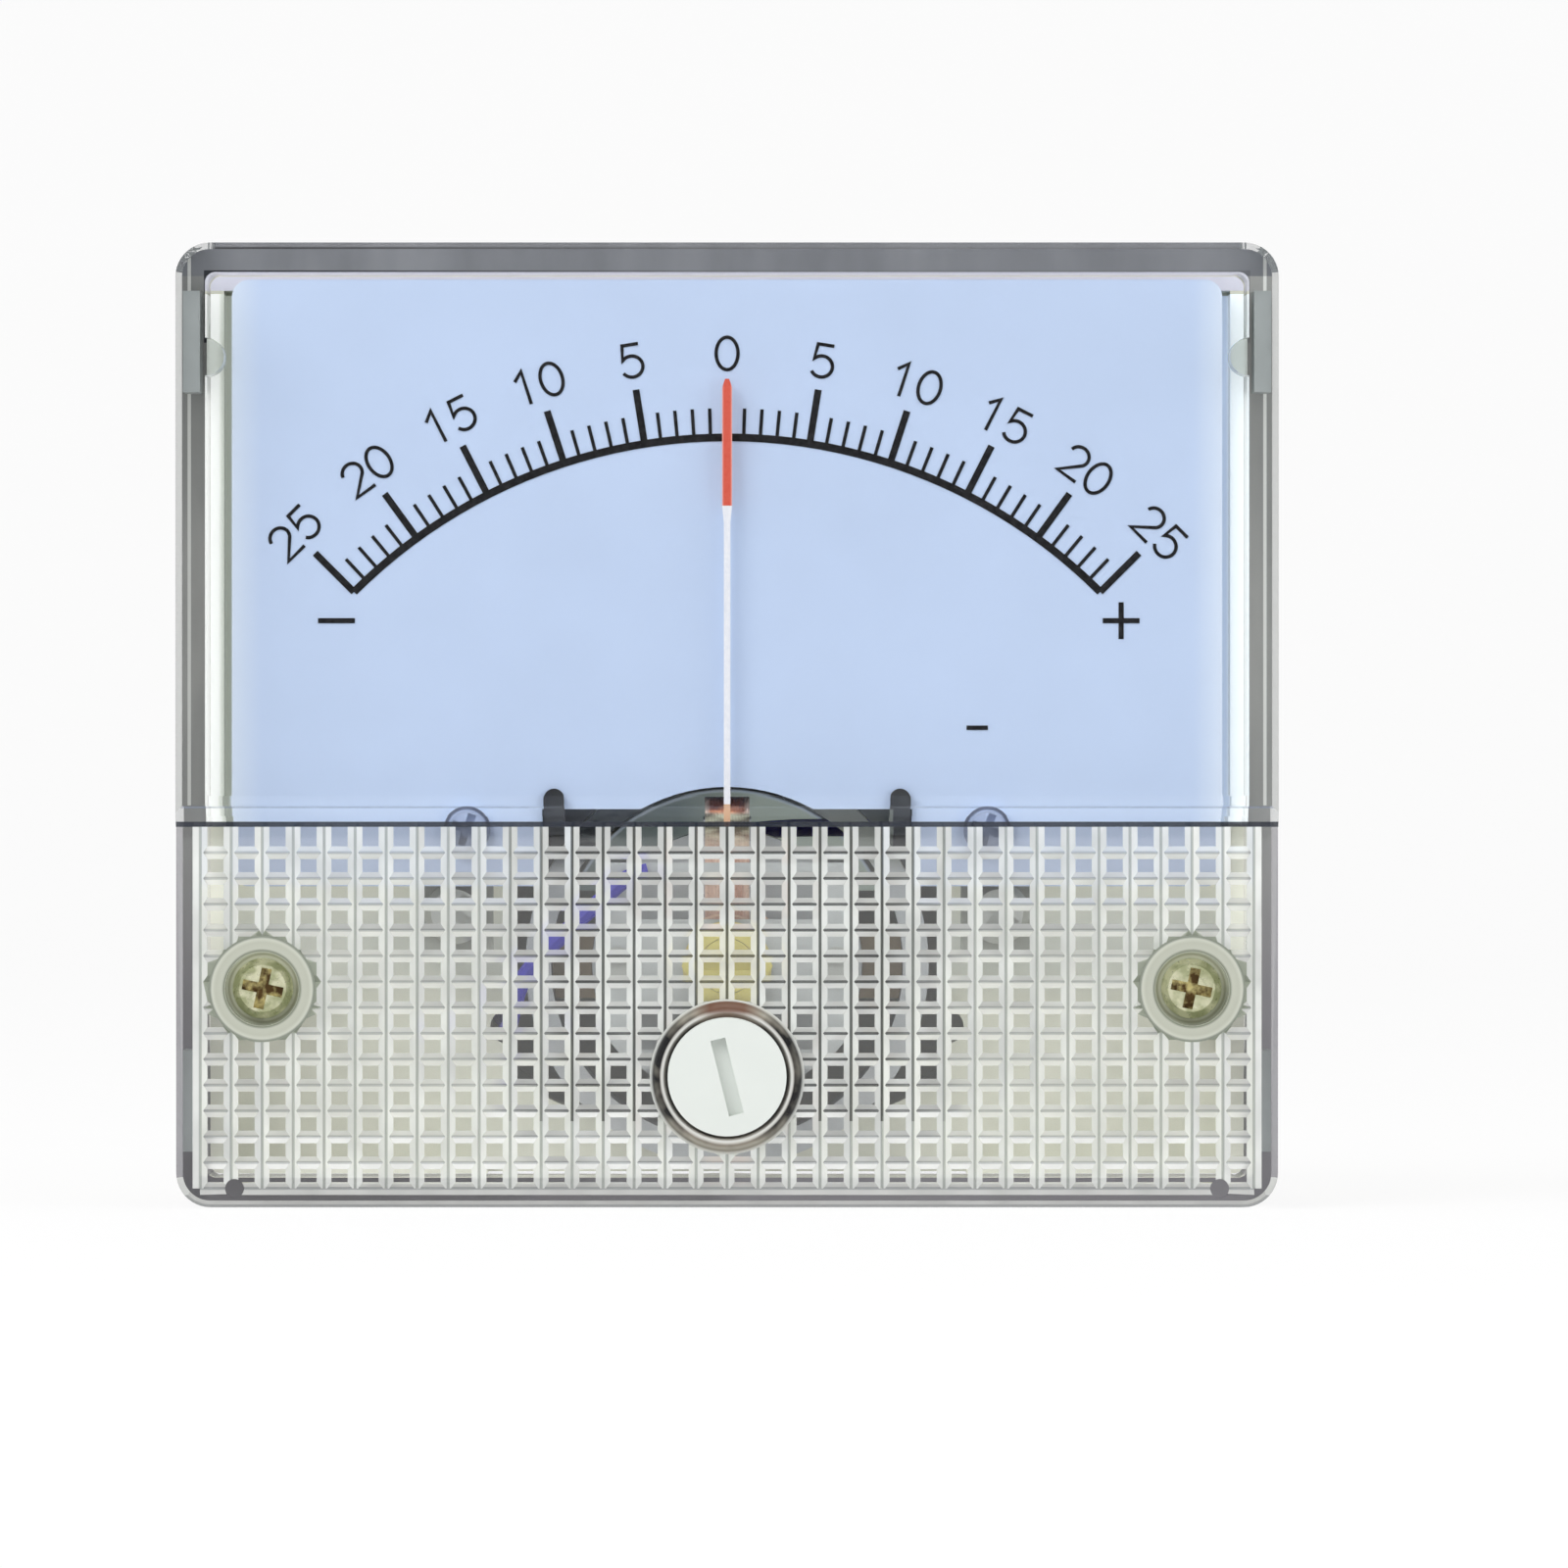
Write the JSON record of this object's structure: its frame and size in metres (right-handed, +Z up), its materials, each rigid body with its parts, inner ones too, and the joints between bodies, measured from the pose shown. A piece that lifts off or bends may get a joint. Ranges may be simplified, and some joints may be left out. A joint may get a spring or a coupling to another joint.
{
  "type": "analog panel meter",
  "caption": "Moving-coil analog panel meter with a rectangular clear front, waffle lower field, centre-zero dial, round rear drum, terminals and zero adjuster.",
  "frame": {"origin": "on the drum's axis, in the plane of the panel that the front seats on", "axes": "+X to the right seen from the front, +Y into the panel along the drum, +Z up; the dial looks along -Y"},
  "size_m": [0.064, 0.0549, 0.056],
  "materials": {
    "clear_cover": "clear, glossy",
    "cream_base": "satin cream moulding",
    "cover_screws": "nickel plated, yellowish",
    "white_adjuster": "white moulding",
    "dial_blue": "satin pale blue paint",
    "scale_ink": "black printing ink",
    "dark_screws": "blackened",
    "carrier_plastic": "dark grey moulding",
    "steel_screws": "zinc plated",
    "yoke_steel": "plain soft iron",
    "magnet": "ground bright",
    "spacer_brass": "plain",
    "bridge_metal": "die cast, light grey",
    "brass": "turned",
    "ruby": "polished stone",
    "regulator_bronze": "stamped spring bronze",
    "pointer_paint": "white with a red tip",
    "aluminium": "plain",
    "copper_winding": "enamelled copper wire",
    "staff_steel": "hardened, polished",
    "spring_bronze": "phosphor bronze strip",
    "lead_blue": "blue insulation",
    "stud_nickel": "nickel plated",
    "terminal_brass": "turned brass",
    "lug_tin": "tinned"
  },
  "bodies": {
    "case": {"front_cover": "clear_cover", "rear_base": "cream_base", "cover_screws": "cover_screws", "dial_plate": "dial_blue", "scale_marks": "scale_ink", "dial_screws": "dark_screws", "movement_carrier": "carrier_plastic", "carrier_screws": "steel_screws", "yoke_ring": "yoke_steel", "core_magnet": "magnet", "core_spacers": "spacer_brass", "front_bridge": "bridge_metal", "rear_bridge": "bridge_metal", "bridge_screws": "steel_screws", "front_jewel_screw": "brass", "rear_jewel_screw": "brass", "pivot_jewels": "ruby", "jewel_locknuts": "brass", "regulator_washer": "steel_screws", "rear_spring_anchor": "regulator_bronze", "front_lead": "lead_blue", "rear_lead": "lead_blue", "mounting_studs": "stud_nickel", "terminal_studs": "terminal_brass", "solder_lugs": "lug_tin", "terminal_clamp_nuts": "terminal_brass", "terminal_washers": "stud_nickel", "terminal_outer_nuts": "terminal_brass"},
    "moving_coil": {"pointer": "pointer_paint", "balance_cross": "aluminium", "balance_weights": "brass", "coil_former": "aluminium", "coil_winding": "copper_winding", "front_staff": "staff_steel", "rear_staff": "staff_steel", "spring_collets": "brass", "front_hairspring": "spring_bronze", "rear_hairspring": "spring_bronze"},
    "regulator": {"regulator_arm": "regulator_bronze"},
    "adjuster": {"zero_adjuster": "white_adjuster"}
  },
  "joints": [
    {"name": "pointer_swing", "type": "hinge", "parent": "case", "child": "moving_coil", "pos_m": [0, -0.0088, -0.014], "axis": [0, 1, 0], "range_deg": [-47, 47], "stiffness_Nm_per_rad": 0.00005, "deforming": ["front_hairspring", "rear_hairspring"]},
    {"name": "zero_adjuster_turn", "type": "hinge", "parent": "case", "child": "adjuster", "pos_m": [0, -0.0125, -0.0204], "axis": [0, 1, 0], "range_deg": [-40, 40]},
    {"name": "regulator_swing", "type": "hinge", "parent": "case", "child": "regulator", "pos_m": [0, -0.0107, -0.014], "axis": [0, 1, 0], "range_deg": [-7.2, 7.2]}
  ],
  "couplings": [
    {"joint": "regulator_swing", "follows": "zero_adjuster_turn", "ratio": -0.175}
  ]
}
